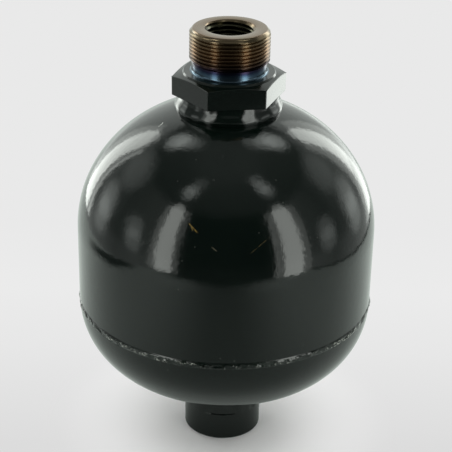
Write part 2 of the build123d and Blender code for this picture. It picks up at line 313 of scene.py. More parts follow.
def port_nipple():
    """Turned nipple with both screw threads cut as real helices, and its spigot in the head."""
    root = NIPPLE_RADIUS - THREAD_DEPTH
    low = HEXAGON_TOP_Z + RELIEF_WIDTH + (root - RELIEF_RADIUS)
    high = NIPPLE_TOP_Z - NIPPLE_CHAMFER + (NIPPLE_RADIUS - root)
    # one tooth: flat root, straight flanks and a crest with broken corners
    teeth = (
        (root, 0.0),
        (root, 0.10),
        (NIPPLE_RADIUS - THREAD_CREST_ROUND, 0.455),
        (NIPPLE_RADIUS, 0.48),
        (NIPPLE_RADIUS, 0.62),
        (NIPPLE_RADIUS - THREAD_CREST_ROUND, 0.645),
        (root, 1.0),
    )
    outside = thread_tube("nipple_outside", teeth, THREAD_PITCH, low, high)
    limit_radius(outside, (root, low, 1.0), (root, high, -1.0), outside=True)

    bore_root = BORE_RADIUS + BORE_THREAD_DEPTH
    bore_low = NIPPLE_TOP_Z - BORE_CHAMFER - BORE_THREAD_LENGTH - BORE_THREAD_DEPTH
    bore_high = NIPPLE_TOP_Z - BORE_CHAMFER + BORE_THREAD_DEPTH
    bore_teeth = (
        (bore_root, 0.0),
        (bore_root, 0.06),
        (BORE_RADIUS + BORE_CREST_ROUND, 0.47),
        (BORE_RADIUS, 0.50),
        (BORE_RADIUS, 0.56),
        (BORE_RADIUS + BORE_CREST_ROUND, 0.59),
        (bore_root, 1.0),
    )
    inside = thread_tube("nipple_bore", bore_teeth, BORE_PITCH, bore_low, bore_high)
    limit_radius(
        inside, (bore_root, bore_low, -1.0), (bore_root, bore_high, 1.0), outside=False
    )

    # the end face, from the thread's chamfer over a rounded corner to the bore's mouth
    select_levels(outside, high)
    edge = 0.3 * MM
    face_radius = NIPPLE_RADIUS - NIPPLE_CHAMFER
    mouth_radius = BORE_RADIUS + BORE_CHAMFER
    mouth_edge_z = NIPPLE_TOP_Z - 0.018 * MM
    corner = [
        (face_radius + edge * 0.8, NIPPLE_TOP_Z - edge * 0.8),
        (face_radius + edge * 0.25, NIPPLE_TOP_Z - edge * 0.35),
        (face_radius - edge * 0.3, NIPPLE_TOP_Z - edge * 0.08),
        (face_radius - edge * 0.9, NIPPLE_TOP_Z),
        (mouth_radius + edge * 0.2, NIPPLE_TOP_Z),
        (mouth_radius, mouth_edge_z),
    ]
    draw_rings((root, high), corner)
    out_of_edit()

    # and the other way: relief, spigot inside the hexagon and the head, passage, bore's end
    select_levels(outside, low)
    fillet = arc(
        (RELIEF_RADIUS + RELIEF_FILLET, HEXAGON_TOP_Z + RELIEF_FILLET),
        RELIEF_FILLET, 180, 262, 6,
    )
    hidden_z = HEXAGON_TOP_Z - 0.01 * MM
    shoulder_z = HEXAGON_LOW_Z - 0.3 * MM
    edge_middle = 0.44 * MM
    spigot = [
        (RELIEF_RADIUS + RELIEF_FILLET, hidden_z),
        (RELIEF_RADIUS + RELIEF_FILLET, shoulder_z),
        (SPIGOT_RADIUS, shoulder_z),
        (SPIGOT_RADIUS, PORT_END_Z + SPIGOT_EDGE),
        (SPIGOT_RADIUS - SPIGOT_EDGE, PORT_END_Z),
        (PASSAGE_RADIUS + PASSAGE_EDGE, PORT_END_Z),
        (PASSAGE_RADIUS + edge_middle, PORT_END_Z + edge_middle),
        (PASSAGE_RADIUS, PORT_END_Z + PASSAGE_EDGE),
    ]
    relief_low = NIPPLE_TOP_Z - BORE_CHAMFER - BORE_THREAD_LENGTH - BORE_RELIEF_WIDTH
    relief_top = bore_low - (BORE_RELIEF_DEPTH - BORE_THREAD_DEPTH)
    bore_end = [
        (PASSAGE_RADIUS, relief_low - DRILL_POINT_FALL),
        (BORE_RADIUS, relief_low),
        (BORE_RADIUS + BORE_RELIEF_DEPTH, relief_low),
        (BORE_RADIUS + BORE_RELIEF_DEPTH, relief_top),
    ]
    relief_cone = [(RELIEF_RADIUS, low - (root - RELIEF_RADIUS))]
    draw_rings((root, low), relief_cone + fillet + spigot + bore_end)
    out_of_edit()
    nipple = join("port_nipple", outside, inside)
    bridge_levels(nipple, mouth_edge_z, bore_high)
    bridge_levels(nipple, relief_top, bore_low)
    return tidy_mesh(nipple, merge=0.0005 * MM)


def port_hexagon():
    """Milled hexagon: a raised washer face, upper corners turned off by a shallow cone,
    edges broken."""
    bpy.ops.object.select_all(action="DESELECT")
    corner_radius = HEXAGON_FLAT / math.cos(math.pi / 6)
    bpy.ops.mesh.primitive_cylinder_add(
        vertices=6, radius=corner_radius, depth=HEXAGON_HEIGHT,
        location=(0, 0, (HEXAGON_TOP_Z + HEXAGON_LOW_Z) / 2),
        rotation=(0, 0, math.pi / 2),
    )
    hexagon = bpy.context.object
    hexagon.name = hexagon.data.name = "port_hexagon"
    bpy.ops.object.transform_apply(location=True, rotation=True)
    reach = corner_radius * 1.2
    fall = WASHER_STEP + (reach - HEXAGON_CHAMFER_RADIUS) * HEXAGON_CHAMFER_SLOPE
    # the step from the washer face down to the cone, its upper corner rounded
    step = WASHER_STEP / math.tan(WASHER_STEP_TILT)
    round_start = math.tan(WASHER_STEP_TILT / 2)
    washer_edge = [(HEXAGON_CHAMFER_RADIUS, HEXAGON_TOP_Z - WASHER_STEP)]
    steps = 6
    for i in range(steps + 1):
        tilt = WASHER_STEP_TILT * (1 - i / steps)
        washer_edge.append((
            HEXAGON_CHAMFER_RADIUS - step + WASHER_ROUND * (math.sin(tilt) - round_start),
            HEXAGON_TOP_Z - WASHER_ROUND * (1 - math.cos(tilt)),
        ))
    hole_radius = RELIEF_RADIUS - 0.3 * MM
    below = HEXAGON_LOW_Z - 5 * MM
    turned = turned_solid("hexagon_turning", [
        (hole_radius, below), (reach, below), (reach, HEXAGON_TOP_Z - fall),
        *washer_edge, (hole_radius, HEXAGON_TOP_Z),
    ], segments=180)
    choose(hexagon)
    cut = hexagon.modifiers.new("turning", "BOOLEAN")
    cut.operation = "INTERSECT"
    cut.solver = "EXACT"
    cut.object = turned
    bpy.ops.object.modifier_apply(modifier="turning")
    bpy.data.objects.remove(turned)
    broken = hexagon.modifiers.new("edges", "BEVEL")
    broken.width = HEXAGON_EDGE
    broken.segments = 3
    broken.limit_method = "ANGLE"
    broken.angle_limit = HEXAGON_EDGE_LIMIT
    bpy.ops.object.modifier_apply(modifier="edges")
    return tidy_mesh(hexagon)


def push_out(co, push):
    """Moves a vertex's place away from the axis."""
    radius = math.hypot(co.x, co.y)
    co.x *= 1 + push / radius
    co.y *= 1 + push / radius


def rough_bead(obj, lumps, height, seed, ripples=0, ripple_height=0.0, toe_z=0.0, lean=0.0):
    """Moves a turned bead's skin in and out: slow lumps, and a weld pool's crescent ripples,
    which lean away with the height over the bead's toe."""
    for vertex in obj.data.vertices:
        co = vertex.co
        push = height * noise.noise(co / lumps + Vector((seed, 0, 0)))
        if ripples:
            phase = math.atan2(co.y, co.x) * ripples + lean * ((co.z - toe_z) / MM) ** 2
            push += ripple_height * (abs(math.sin(phase / 2)) - 0.5)
        push_out(co, push)


def girth_bead():
    """Bead of the girth seam: a lumpy run, and above it the undercut line where the arc
    bit into the head."""
    half = 1.6 * MM
    root = BODY_RADIUS - 1.2 * MM
    middle, toe = -0.10, 0.70  # in halves of the bead's height from the seam
    crest, sink, undercut = 0.30 * MM, 0.04 * MM, 0.26 * MM
    steps = 20
    section = [(root, SEAM_Z + half), (root, SEAM_Z - half)]
    for i in range(steps + 1):
        share = -1 + 2 * i / steps
        if share < toe:
            crown = max(0.0, 1 - ((share - middle) / (toe - middle)) ** 4)
            rise = crest * crown - sink
        else:
            rise = -sink - undercut * math.sin(math.pi * (share - toe) / (1 - toe))
        section.append((BODY_RADIUS + rise, SEAM_Z + half * share))
    bead = turned_solid("girth_bead", section, segments=1152)

    skin = BODY_RADIUS - 1.0 * MM
    # sizes in metres, heights in mm
    lump_size, lump_height, lump_squeeze = 2.6 * MM, 0.44, 1.4
    grain_size, grain_height = 0.8 * MM, 0.11
    ripples, ripple_lean, ripple_height = 165, 0.8, 0.06
    for vertex in bead.data.vertices:
        co = vertex.co
        share = ((co.z - SEAM_Z) / half - middle) / (toe - middle)
        crown = max(0.0, 1 - share ** 4)
        if math.hypot(co.x, co.y) < skin or not crown:
            continue
        lump = noise.noise(Vector((co.x, co.y, co.z * lump_squeeze)) / lump_size)
        grain = noise.noise(co / grain_size)
        phase = math.atan2(co.y, co.x) * ripples + ripple_lean * share * share
        ripple = abs(math.sin(phase)) - 0.5
        height = lump_height * lump + grain_height * grain + ripple_height * ripple
        push_out(co, crown * height * MM)
    return bead


def neck_collar():
    """Weld that seats the port on the upper head: a full run of bead, drawn in to a waist
    under the hexagon."""
    inner = SPIGOT_RADIUS - 0.5 * MM
    root_z = PORT_SEAT_Z - 0.9 * MM
    top_z = HEXAGON_LOW_Z + 0.02 * MM
    section = [(inner, root_z), (COLLAR_SEAT - 0.2 * MM, root_z)]
    steps = 20
    below = 0.12  # share of the bulge that lies below the seat
    for i in range(steps + 1):
        share = i / steps
        bulge = math.sin(math.pi * min(1.0, (share + below) / (1 - below))) ** 1.3
        waist = COLLAR_SEAT + (COLLAR_WAIST - COLLAR_SEAT) * share ** 1.5
        height = (top_z - PORT_SEAT_Z) * share
        section.append((waist + COLLAR_BULGE * bulge, PORT_SEAT_Z + height))
    section.append((inner, top_z))
    collar = turned_solid("neck_collar", section, segments=360)
    rough_bead(collar, lumps=3.6 * MM, height=0.20 * MM, seed=9.0)
    return collar


# the boss weld's run was started three times, and each start left an undercut over the toe
WELD_STARTS = 3
FIRST_START = math.radians(-99.0)
START_UNDERCUT = 0.7 * MM


def boss_bead():
    """Broad fillet from the lower head down the gas boss, with a low cap at its toe."""
    low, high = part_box("boss_weld")
    toe = low.z
    outer = high.y
    cap_rise = 0.4 * MM
    inner, cap = BOSS_RADIUS - cap_rise, BOSS_RADIUS + cap_rise
    straight = toe + 5.4 * MM
    section = [(inner, high.z), (inner, toe), (BOSS_RADIUS, toe), (cap, toe + cap_rise)]
    section += [(cap, toe + rise * MM) for rise in (0.5, 0.75, 1.0, 1.2)]
    steps = 10
    for i in range(steps + 1):
        turn = math.radians(90 * i / steps)
        section.append((
            cap + (outer - cap) * (1 - math.cos(turn)),
            straight + (high.z - straight) * math.sin(turn),
        ))
    bead = turned_solid("boss_bead", section, segments=288)
    undercut_low, undercut_high = toe + 0.6 * MM, toe + 1.1 * MM
    for vertex in bead.data.vertices:
        co = vertex.co
        if undercut_low < co.z < undercut_high and math.hypot(co.x, co.y) > BOSS_RADIUS:
            turn = WELD_STARTS / 2 * (math.atan2(co.y, co.x) - FIRST_START)
            depth = START_UNDERCUT * math.cos(turn) ** 8
            co.x *= 1 - depth / BOSS_RADIUS
            co.y *= 1 - depth / BOSS_RADIUS
    rough_bead(
        bead, lumps=3.2 * MM, height=0.36 * MM, seed=5.0,
        ripples=70, ripple_height=0.06 * MM, toe_z=toe, lean=0.2,
    )
    return bead


# ---------------------------------------------------------------- bladder

def bladder_pieces():
    """Moulded rubber cup in three pieces: clamped bead, wall that folds down, and crown pad
    on the button; and the height of the bead's top, where the wall stands."""
    low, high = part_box("bladder")
    outer = high.y
    wall = 2.5 * MM
    bead_width = 5.0 * MM
    bead_top = low.z + 10.5 * MM
    skirt_top = SEAM_Z + HEAD_STRAIGHT
    head_gap = 4.8 * MM  # from the head's top down to the dome
    dome = HEAD_TOP_Z - skirt_top - head_gap
    pad_radius = 18.5 * MM
    pad_depth = 5.0 * MM
    stem_radius = 4.3 * MM

    bead = turned_solid("bladder_bead", [
        (outer - bead_width + 0.5 * MM, low.z),
        (outer - 0.6 * MM, low.z),
        (outer, low.z + 0.6 * MM),
        (outer, bead_top),
        (outer - wall, bead_top),
        (outer - bead_width, bead_top - wall),
        (outer - bead_width, low.z + 0.5 * MM),
    ])

    def dome_line(radius, height, top_z, steps=24):
        angle = math.asin((top_z - skirt_top) / height)
        turns = [angle * i / steps for i in range(steps + 1)]
        return [(radius * math.cos(t), skirt_top + height * math.sin(t)) for t in turns]

    outside = dome_line(outer, dome, high.z)
    inside = dome_line(outer - wall, dome - wall, high.z - wall)
    # shallow rings round the skirt, where it folds
    folds, fold_depth = 6, 0.25 * MM
    fold_rings = [
        (outer - fold_depth * (i % 2), bead_top + (skirt_top - bead_top) * i / folds)
        for i in range(folds)
    ]
    cup = turned_solid("bladder_wall", [
        *fold_rings, *outside,
        (pad_radius, high.z), (pad_radius, high.z - wall),
        *inside[::-1], (outer - wall, bead_top),
    ])

    pad = turned_solid("bladder_pad", [
        (stem_radius, high.z),
        (stem_radius, high.z - pad_depth),
        (pad_radius - 3.2 * MM, high.z - pad_depth),
        (pad_radius - 2.2 * MM, high.z - pad_depth + 0.4 * MM),
        (pad_radius, high.z - wall),
        (pad_radius, high.z),
    ])
    return bead, cup, pad, bead_top


# ---------------------------------------------------------------- materials

ENAMEL_BLACK = "#030806"
ENAMEL_THIN = "#050b08"
ENAMEL_OVER_WELD = "#141a16"
BARE_BEAD_GLINT = "#7f827b"
DUST = "#4a4d48"
BORE_OLIVE = "#4c4a3c"
GOLDEN_RUST = "#5c4c26"
BROWN_RUST = "#4c4226"
DARK_RUST = "#322c1c"
GREY_SCUFF = "#3c3a30"
PALE_PRIMER = "#a2a49e"

# scratches and chips on the upper head, in mm in the frame's axes: from, to, half width, colour
HANDLING_MARKS = (
    ((-23.5, -50.8, 126.9), (-19.7, -54.5, 123.4), 0.30 * MM, GOLDEN_RUST),
    ((-22.6, -51.8, 126.6), (-21.4, -52.8, 123.6), 0.22 * MM, BROWN_RUST),
    ((-0.6, -60.9, 116.4), (8.3, -57.8, 122.5), 0.20 * MM, DARK_RUST),
    ((-15.1, -57.9, 119.2), (-12.9, -59.1, 117.5), 0.28 * MM, GREY_SCUFF),
    ((-30.1, -7.8, 149.3), (-28.4, -7.2, 150.2), 0.32 * MM, PALE_PRIMER),
    ((-28.6, -7.3, 150.1), (-27.9, -6.0, 150.6), 0.28 * MM, PALE_PRIMER),
)
# and a shallow dent there
DENT_CENTRE = (-6.2, -34.4, 147.2)
DENT_RADIUS = 3.0 * MM
DENT_DEPTH = 0.32 * MM


def srgb(code):
    """Linear RGBA of an sRGB hex colour."""
    channels = [int(code[i:i + 2], 16) / 255 for i in (1, 3, 5)]
    linear = [c / 12.92 if c <= 0.04045 else ((c + 0.055) / 1.055) ** 2.4 for c in channels]
    return (*linear, 1.0)


def per(size):
    """Texture scale whose features have that size in metres."""
    return 1.0 / size


def add(tree, kind, inputs=None, stops=(), **settings):
    """Adds a shader node with its settings and links. An input is a value, a node, or a
    (node, output) pair; stops are a colour ramp's (position, hex or grey) pairs."""
    made = tree.nodes.new("ShaderNode" + kind)
    for name, value in settings.items():
        setattr(made, name, value)
    for socket, value in (inputs or {}).items():
        if isinstance(value, bpy.types.Node):
            value = (value, 0)
        if isinstance(value, tuple) and isinstance(value[0], bpy.types.Node):
            tree.links.new(value[0].outputs[value[1]], made.inputs[socket])
        else:
            made.inputs[socket].default_value = value
    for _ in stops[2:]:
        made.color_ramp.elements.new(0.5)
    for i, (position, colour) in enumerate(stops):
        element = made.color_ramp.elements[i]
        element.position = position
        element.color = srgb(colour) if isinstance(colour, str) else (colour, colour, colour, 1.0)
    return made


def new_material(name):
    """Material with an empty tree."""
    material = bpy.data.materials.new(name)
    material.use_nodes = True
    tree = material.node_tree
    tree.nodes.clear()
    return material, tree


def from_axis(tree, place):
    """Distance from the vessel's axis, and height."""
    parts = add(tree, "SeparateXYZ", {0: place})
    flat = add(tree, "CombineXYZ", {0: (parts, 0), 1: (parts, 1)})
    radius = add(tree, "VectorMath", {0: flat}, operation="LENGTH")
    return (radius, "Value"), (parts, 2)


def within(tree, offset, direction, half):
    """1 inside a slab of that half width square to a direction, fading out at its faces."""
    along = add(tree, "VectorMath", {0: offset, 1: tuple(direction)}, operation="DOT_PRODUCT")
    size = add(tree, "Math", {0: (along, "Value")}, operation="ABSOLUTE")
    return add(tree, "MapRange", {0: size, 1: half * 0.5, 2: half, 3: 1.0, 4: 0.0})


def scratch_mask(tree, place, start, end, half):
    """1 along a straight scratch between two places on the upper head."""
    start, end = Vector(start) * MM, Vector(end) * MM
    middle, along = (start + end) / 2, (end - start).normalized()
    outward = (middle - Vector((0, 0, SEAM_Z + HEAD_STRAIGHT))).normalized()
    across = outward.cross(along).normalized()
    offset = add(tree, "VectorMath", {0: place, 1: tuple(middle)}, operation="SUBTRACT")
    broken = add(tree, "TexNoise", {"Vector": place, "Scale": per(1.1 * MM), "Detail": 2.0})
    mask = add(tree, "MapRange", {0: broken, 1: 0.36, 2: 0.50})
    for direction, reach in ((along, (end - start).length / 2), (across, half), (outward, 4 * MM)):
        slab = within(tree, offset, direction, reach)
        mask = add(tree, "Math", {0: mask, 1: slab}, operation="MULTIPLY")
    return mask


def handling_marks(tree, place, colour):
    """Scratches through the paint to a golden rust, and chips down to pale primer, on the
    upper head."""
    for start, end, half, mark in HANDLING_MARKS:
        mask = scratch_mask(tree, place, start, end, half)
        marked = add(tree, "Mix", {0: mask, 6: colour, 7: srgb(mark)}, data_type="RGBA")
        colour = (marked, 2)
    return colour


def crest_wear_and_glint(tree, place, radius, colour, slow, crest_radius):
    """Flecks of bare bead about 1 mm long, in patches, on a weld's crests: partly wear, where the
    enamel pulls thin and is knocked away, and partly painted glints for the crests' highlights."""
    flecks = add(tree, "TexNoise", {
        "Vector": place, "Scale": per(0.9 * MM), "Detail": 2.0, "Roughness": 0.6,
    })
    picked = add(tree, "MapRange", {0: flecks, 1: 0.49, 2: 0.62})
    crest = add(tree, "MapRange", {0: radius, 1: crest_radius, 2: crest_radius + 0.08 * MM})
    patch = add(tree, "MapRange", {0: slow, 1: 0.40, 2: 0.54, 3: 0.08, 4: 1.0})
    on_crest = add(tree, "Math", {0: picked, 1: crest}, operation="MULTIPLY")
    worn_and_glinting = add(tree, "Math", {0: on_crest, 1: patch}, operation="MULTIPLY")
    shown = add(tree, "Mix", {0: worn_and_glinting, 6: colour, 7: srgb(BARE_BEAD_GLINT)}, data_type="RGBA")
    return shown, 2


def black_enamel(name, peel, peel_size, wave, roughness, thin=ENAMEL_THIN, marked=False,
                 crest_radius=None):
    """Gloss black alkyd enamel sprayed over the whole vessel: a deep wet-looking black. Its
    reflections waver on the drawn heads, where the paint skin dries with orange peel over the
    metal's waves, and lie nearly flat on machined faces."""
    material, tree = new_material(name)
    place = (add(tree, "TexCoord"), "Object")
    fine = add(tree, "TexNoise", {"Vector": place, "Scale": per(peel_size), "Detail": 2.0})
    slow = add(tree, "TexNoise", {
        "Vector": place, "Scale": per(14 * MM), "Detail": 1.0, "Roughness": 0.4,
    })
    tint = add(tree, "TexNoise", {"Vector": place, "Scale": per(22 * MM), "Detail": 3.0})
    colour = add(tree, "ValToRGB", {"Fac": tint}, stops=[(0.3, ENAMEL_BLACK), (0.7, thin)])
    if marked:
        colour = handling_marks(tree, place, colour)
    # flecks on the weld's crests: partly bare-bead wear, partly painted glints
    if crest_radius:
        radius, _ = from_axis(tree, place)
        colour = crest_wear_and_glint(tree, place, radius, colour, slow, crest_radius)
    # dust and dry overspray: specks of 0.5 mm, few and far between
    cells = add(tree, "TexVoronoi", {"Vector": place, "Scale": per(6 * MM), "Randomness": 1.0})
    specks = add(tree, "MapRange", {0: (cells, "Distance"), 1: 0.03, 2: 0.07, 3: 0.30, 4: 0.0})
    dusty = add(tree, "Mix", {0: specks, 6: colour, 7: srgb(DUST)}, data_type="RGBA")
    gloss = add(tree, "MapRange", {
        0: tint, 1: 0.25, 2: 0.75, 3: roughness * 0.8, 4: roughness * 1.3,
    })
    waves = add(tree, "Bump", {"Height": slow, "Strength": 1.0, "Distance": wave})
    if marked:
        hollow = add(tree, "VectorMath", {
            0: place, 1: tuple(Vector(DENT_CENTRE) * MM),
        }, operation="DISTANCE")
        dent = add(tree, "MapRange", {
            0: (hollow, "Value"), 1: 0.0, 2: DENT_RADIUS,
        }, interpolation_type="SMOOTHSTEP")
        waves = add(tree, "Bump", {
            "Height": dent, "Strength": 1.0, "Distance": DENT_DEPTH, "Normal": waves,
        })
    skin = add(tree, "Bump", {
        "Height": fine, "Strength": 1.0, "Distance": peel, "Normal": waves,
    })
    surface = add(tree, "BsdfPrincipled", {
        "Base Color": (dusty, 2), "Metallic": 0.0, "Roughness": gloss, "IOR": 1.5, "Normal": skin,
    })
    add(tree, "OutputMaterial", {"Surface": surface})
    return material


def turning_rings(tree, radius, height, width, depth):
    """Fine rings left by the lathe's tool."""
    section = add(tree, "CombineXYZ", {0: radius, 2: height})
    rings = add(tree, "TexNoise", {"Vector": section, "Scale": per(width), "Detail": 1.0})
    return add(tree, "Bump", {"Height": rings, "Strength": 1.0, "Distance": depth})


def heat_tinted_steel():
    """Turned carbon steel, bare since welding: the heat has run it from blue at the relief
    through purple to bronze brown up the thread, with the lathe's rings still in it."""
    material, tree = new_material("heat tinted turned steel")
    place = (add(tree, "TexCoord"), "Object")
    radius, height = from_axis(tree, place)
    cloud = add(tree, "TexNoise", {
        "Vector": place, "Scale": per(7 * MM), "Detail": 4.0, "Roughness": 0.55,
    })
    shift = add(tree, "MapRange", {0: cloud, 1: 0.0, 2: 1.0, 3: -1.2 * MM, 4: 1.2 * MM})
    tinted_height = add(tree, "Math", {0: height, 1: shift}, operation="ADD")
    up = add(tree, "MapRange", {0: tinted_height, 1: HEXAGON_TOP_Z, 2: NIPPLE_TOP_Z})
    colour = add(tree, "ValToRGB", {"Fac": up}, stops=[
        (0.00, "#5a6c79"), (0.11, "#3c4f60"), (0.18, "#20263a"), (0.24, "#2a2233"),
        (0.31, "#3c302a"), (0.45, "#594635"), (0.62, "#67513b"), (0.82, "#685742"),
        (0.96, "#746752"), (1.00, "#7d6b59"),
    ])
    # the inside thread below the mouth, in one olive colour of its own
    bore_radius = BORE_RADIUS + BORE_THREAD_DEPTH + 0.02 * MM
    mouth_z = NIPPLE_TOP_Z - 1.0 * MM
    inside = add(tree, "Math", {0: radius, 1: bore_radius}, operation="LESS_THAN")
    below = add(tree, "Math", {0: height, 1: mouth_z}, operation="LESS_THAN")
    in_bore = add(tree, "Math", {0: inside, 1: below}, operation="MULTIPLY")
    shown = add(tree, "Mix", {0: in_bore, 6: colour, 7: srgb(BORE_OLIVE)}, data_type="RGBA")
    gloss = add(tree, "MapRange", {0: cloud, 1: 0.2, 2: 0.8, 3: 0.15, 4: 0.24})
    surface = add(tree, "BsdfPrincipled", {
        "Base Color": (shown, 2), "Metallic": 1.0, "Roughness": gloss,
        "Normal": turning_rings(tree, radius, height, 0.25 * MM, 0.004 * MM),
    })
    add(tree, "OutputMaterial", {"Surface": surface})
    return material


def turned_steel(name, colour_a, colour_b, roughness):
    """Turned steel, left bare and lightly oiled or zinc plated: grey, with fine turning rings
    that stretch its highlights."""
    material, tree = new_material(name)
    place = (add(tree, "TexCoord"), "Object")
    radius, height = from_axis(tree, place)
    cloud = add(tree, "TexNoise", {"Vector": place, "Scale": per(9 * MM), "Detail": 3.0})
    colour = add(tree, "ValToRGB", {"Fac": cloud}, stops=[(0.3, colour_a), (0.7, colour_b)])
    surface = add(tree, "BsdfPrincipled", {
        "Base Color": colour, "Metallic": 1.0, "Roughness": roughness,
        "Normal": turning_rings(tree, radius, height, 0.4 * MM, 0.005 * MM),
    })
    add(tree, "OutputMaterial", {"Surface": surface})
    return material


def nitrile_rubber():
    """Black nitrile rubber, press moulded: dull charcoal with a fine grain from the blasted
    mould."""
    material, tree = new_material("moulded nitrile rubber")
    place = (add(tree, "TexCoord"), "Object")
    cloud = add(tree, "TexNoise", {"Vector": place, "Scale": per(12 * MM), "Detail": 3.0})
    colour = add(tree, "ValToRGB", {"Fac": cloud}, stops=[(0.3, "#1b1b1c"), (0.7, "#252526")])
    grain = add(tree, "TexNoise", {"Vector": place, "Scale": per(0.5 * MM), "Detail": 2.0})
    skin = add(tree, "Bump", {"Height": grain, "Strength": 1.0, "Distance": 0.02 * MM})
    surface = add(tree, "BsdfPrincipled", {
        "Base Color": colour, "Metallic": 0.0, "Roughness": 0.62, "IOR": 1.52, "Normal": skin,
    })
    add(tree, "OutputMaterial", {"Surface": surface})
    return material


def paint(obj, material):
    """Gives a new piece its material, and the slot that names its colour."""
    obj.data.materials.clear()
    obj.data.materials.append(material)


def repaint_node(name, material):
    """Gives a CAD node its material through its own material slots."""
    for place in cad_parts[name].material_slots:
        place.material = material


# ---------------------------------------------------------------- the vessel

shell_enamel = black_enamel(
    "black enamel on drawn steel",
    peel=0.034 * MM, peel_size=1.7 * MM, wave=0.06 * MM, roughness=0.10, marked=True,
)
machined_enamel = black_enamel(
    "black enamel on machined steel",
    peel=0.006 * MM, peel_size=2.5 * MM, wave=0.01 * MM, roughness=0.12,
)
weld_enamel = black_enamel(
    "black enamel over weld metal",
    peel=0.03 * MM, peel_size=1.2 * MM, wave=0.06 * MM, roughness=0.12,
    thin=ENAMEL_OVER_WELD, crest_radius=BODY_RADIUS + 0.24 * MM,
)
boss_enamel = black_enamel(
    "black enamel over the boss weld",
    peel=0.03 * MM, peel_size=1.6 * MM, wave=0.05 * MM, roughness=0.16,
)
tinted_steel = heat_tinted_steel()
inner_steel = turned_steel("bare drawn steel", "#6f7072", "#86878a", 0.38)
plated_steel = turned_steel("zinc plated steel", "#a4a8ab", "#b9bcc0", 0.28)
rubber = nitrile_rubber()

nipple = smooth(port_nipple(), 40)
paint(nipple, tinted_steel)
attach(nipple, "vessel")
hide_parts("fluid_port")

hexagon = smooth(port_hexagon(), 4.5)
paint(hexagon, machined_enamel)
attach(hexagon, "vessel")

collar = smooth(neck_collar(), 45)
paint(collar, machined_enamel)
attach(collar, "vessel")
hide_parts("port_weld")

girth = smooth(girth_bead(), 60)
paint(girth, weld_enamel)
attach(girth, "vessel")
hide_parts("girth_weld")

boss_fillet = smooth(boss_bead(), 60)
paint(boss_fillet, boss_enamel)
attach(boss_fillet, "vessel")
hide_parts("boss_weld")

bead, cup, pad, bead_top = bladder_pieces()
for piece in (bead, cup, pad):
    smooth(piece, 40)
    paint(piece, rubber)
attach(bead, "vessel")
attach(cup, "vessel")
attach(pad, "button")
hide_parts("bladder")
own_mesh(cup)

for name, material in (
    ("upper_shell", shell_enamel),
    ("lower_shell", shell_enamel),
    ("gas_boss", machined_enamel),
    ("charging_screw", plated_steel),
    ("charging_screw_seal", rubber),
    ("valve_button", plated_steel),
    ("retaining_ring", inner_steel),
):
    repaint_node(name, material)


# ---------------------------------------------------------------- studio

# Distances and heights are in metres, the lights' heights from the table; azimuths count
# from the camera, to its right.
TABLE_Z = cad_low.z
VIEW_AZIMUTH = math.radians(-9.28)
VIEW_DISTANCE = 0.5292
VIEW_HEIGHT = 0.3600
VIEW_PITCH = math.radians(26.27)
VIEW_ROLL = math.radians(1.22)
VIEW_LENS = 109.1

LAMP_COLOUR = "#fafff9"
CLOTH_COLOUR = "#f8fffa"
PAINTED_REFLECTION_TINT = "#f4fff7"
CARD_COLOUR = "#f0edef"
BACKDROP_COLOUR = "#e8e8e8"

LIGHT_FOOT = 0.004
# the tent's four corner lights: azimuth, distance, width, foot and top of the tube's bright part
CORNERS = (
    ("front left", -43.4, 0.50, 0.112, LIGHT_FOOT, 0.54),
    ("front right", 47.5, 0.40, 0.104, LIGHT_FOOT, 0.44),
    ("back left", -135.3, 0.50, 0.122, LIGHT_FOOT, 0.50),
    ("back right", 139.5, 0.37, 0.080, 0.13, 0.42),
)
TUBE_RADIANCE = 3.1
TUBE_END_RADIANCE = 1.9
TUBE_END_WIDTH = 0.62  # of the tube's width
TUBE_END_TOP = 1.09  # of the tube's height
REFLECTOR_RADIANCE = 0.75
REFLECTOR_BEHIND = 0.01
REFLECTOR_MARGIN = 0.10
# dimmer parts of them: azimuth, distance, place aside, width, foot, top, radiance
DIM_PARTS = (
    ("back right foot", 139.5, 0.37, 0, 0.080, LIGHT_FOOT, 0.13, 1.9),
    ("back left edge", -135.3, 0.50, 0.107, 0.026, LIGHT_FOOT, 0.48, 1.6),
    ("front right edge", 47.5, 0.40, -0.082, 0.014, LIGHT_FOOT, 0.40, 0.7),
)
OVERHEAD_POWER = 19.0
OVERHEAD_SIZE = 2.0
OVERHEAD_HEIGHT = 1.1

# where the corner lights wash over the tent's cloth, and paler places on its side walls:
# azimuth, elevation and spread in degrees, radiance
GLOWS = (
    (-48.0, 55, 7, 1.6), (-46.5, 60, 6, 0.8), (-45.0, 66, 6, 0.4),
    (54.5, 56, 7, 1.1), (53.0, 61, 7, 1.2), (53.0, 67, 6, 0.8),
    (-135.5, 53, 9, 2.2), (-136.0, 59, 8, 1.1), (-137.0, 65, 7, 0.6),
    (138.5, 54, 9, 2.2), (140.0, 60, 8, 1.1), (146.0, 65, 8, 0.8),
    (-110.0, -1, 13, 0.9), (-110.0, 8, 14, 1.1), (-73.0, 2, 11, 0.8), (-75.0, 11, 11, 0.8),
    (117.0, -1, 13, 0.9), (117.0, 8, 14, 0.9), (83.0, 1, 11, 0.7), (83.0, 9, 11, 0.6),
    (-110.0, 34, 17, 0.5), (114.0, 31, 16, 0.45),
)

# the painted reflection of the card on the table, which only the enamel sees, in the view's own
# axes
TABLE_RADIUS = 6.0
CARD_FRONT, CARD_BACK, CARD_LEFT = -0.40, 0.45, -0.375
CARD_RIGHT = (0.304, 0.03, 0)  # a place on its right edge
CARD_RIGHT_OUT = (0.966, 0.260, 0)  # square to that edge
# the painted dark gap at its right: where it is fully dark, and where the card opens beyond
RIGHT_GAP_FADE = 0.014
RIGHT_GAP_WIDTH = 0.034
